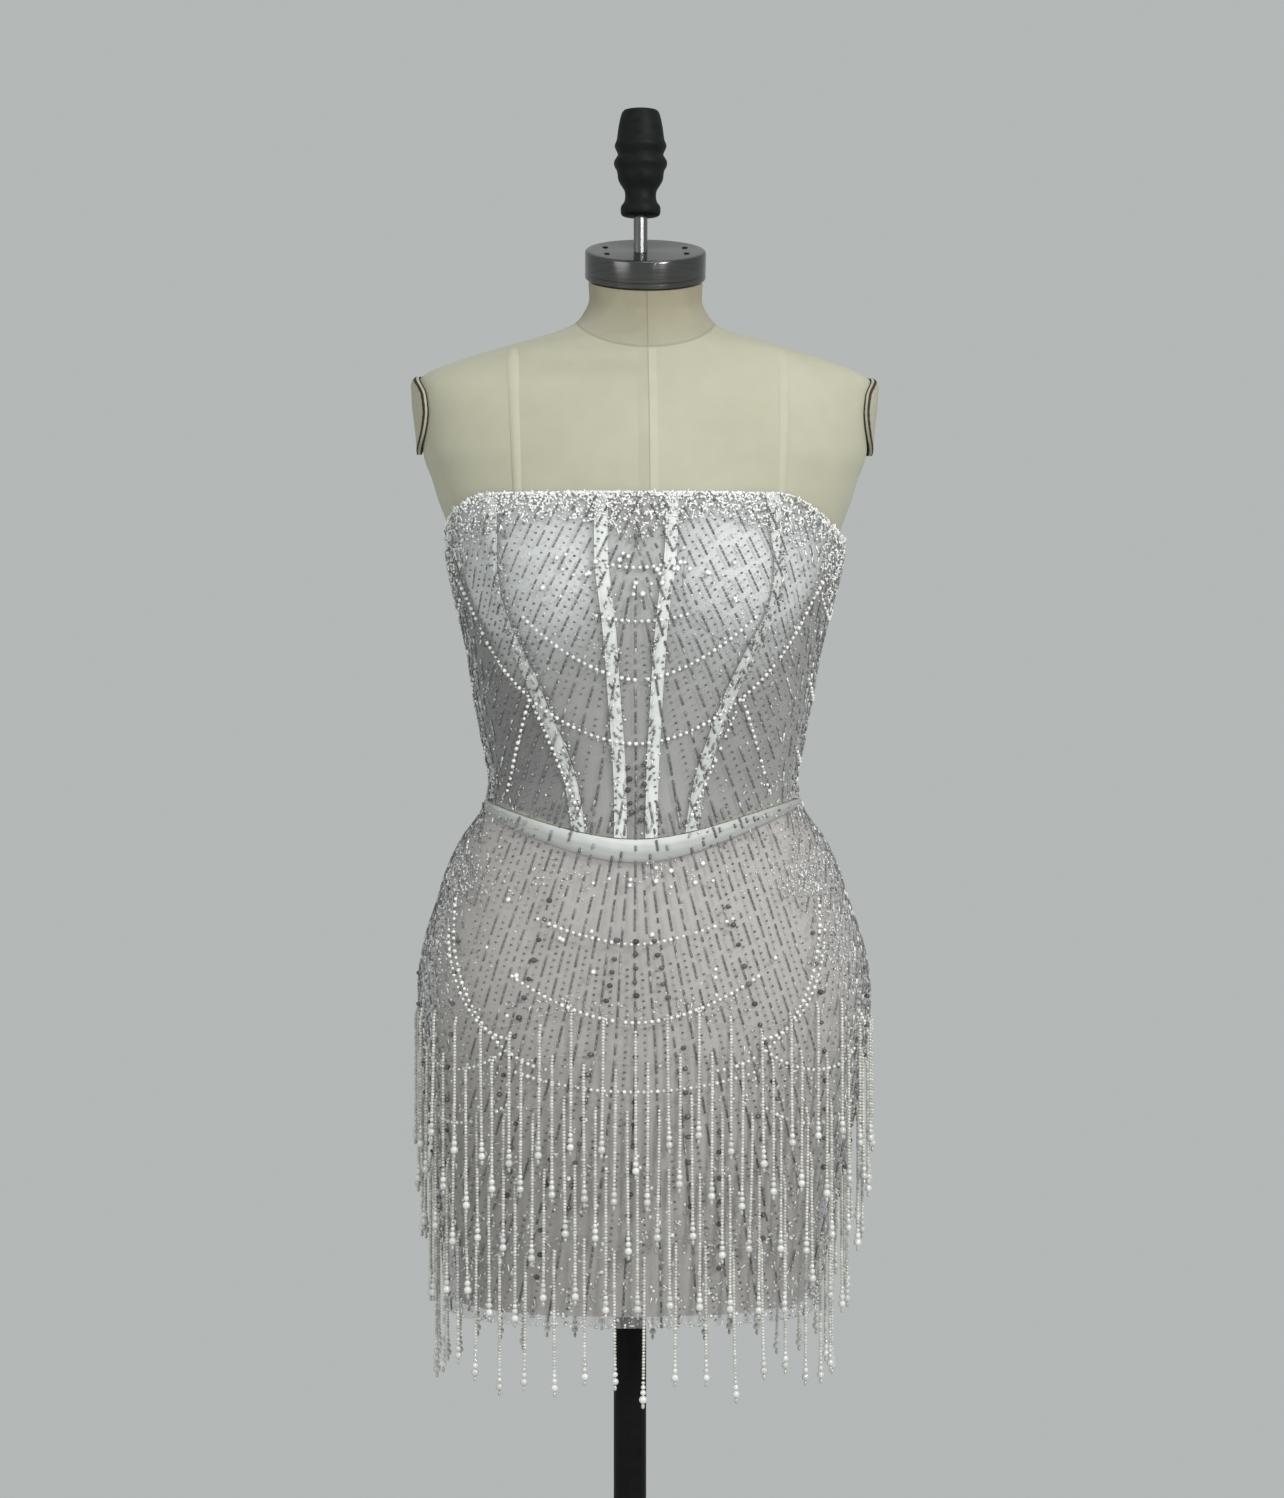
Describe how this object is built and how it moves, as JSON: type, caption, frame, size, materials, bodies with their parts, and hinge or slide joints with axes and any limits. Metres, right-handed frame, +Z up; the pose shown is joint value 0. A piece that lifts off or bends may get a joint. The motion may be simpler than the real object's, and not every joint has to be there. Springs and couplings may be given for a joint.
{
  "type": "wedding dress on dress form",
  "caption": "Strapless beaded mini dress with tiered bead fringe, worn by a canvas dress form on a pole and round base.",
  "frame": {"origin": "middle of the base plate's underside", "axes": "+Z up the pole, the dress faces -Y, +X is the wearer's left"},
  "size_m": [0.43, 0.43, 1.6442],
  "materials": {
    "iron": "black painted casting",
    "black": "black lacquer",
    "canvas": "cream canvas over padding",
    "arm_plate": "brown covered board",
    "steel": "satin",
    "beaded_mesh": "sheer mesh with beads",
    "white_satin": "satin",
    "lining": "soft crepe",
    "zip_coil": "woven nylon coil",
    "glass_beads": "pearly glass beads"
  },
  "bodies": {
    "stand": {"base_plate": "iron", "base_hub": "iron", "pole": "black"},
    "form": {"form_flange": "iron", "form_torso": "canvas", "arm_plate_left": "arm_plate", "arm_plate_right": "arm_plate", "neck_cap": "steel", "knob_rod": "steel", "knob": "black", "bodice_centre_front": "beaded_mesh", "bodice_side_front_left": "beaded_mesh", "bodice_side_front_right": "beaded_mesh", "bodice_back_left": "beaded_mesh", "bodice_back_right": "beaded_mesh", "bone_centre_left": "white_satin", "bone_centre_right": "white_satin", "bone_princess_left": "white_satin", "bone_princess_right": "white_satin", "bust_cup_left": "white_satin", "bust_cup_right": "white_satin", "waist_band": "white_satin", "skirt_front": "beaded_mesh", "skirt_back_left": "beaded_mesh", "skirt_back_right": "beaded_mesh", "lining_front": "lining", "lining_back": "lining", "zip_chain": "zip_coil", "zip_slider": "steel", "fringe_tier_1": "glass_beads", "fringe_tier_2": "glass_beads", "fringe_tier_3": "glass_beads", "fringe_tier_4": "glass_beads", "fringe_tier_5": "glass_beads"},
    "zip_pull_body": {"zip_pull": "steel"}
  },
  "joints": [
    {"name": "form_swivel", "type": "hinge", "parent": "stand", "child": "form", "pos_m": [0, 0, 0.7735], "axis": [0, 0, 1], "continuous": true},
    {"name": "zip_pull_hinge", "type": "hinge", "parent": "form", "child": "zip_pull_body", "pos_m": [0.02163, 0.10569, 1.27], "axis": [0.9957, -0.0924, 0], "range_deg": [0, 165]}
  ]
}
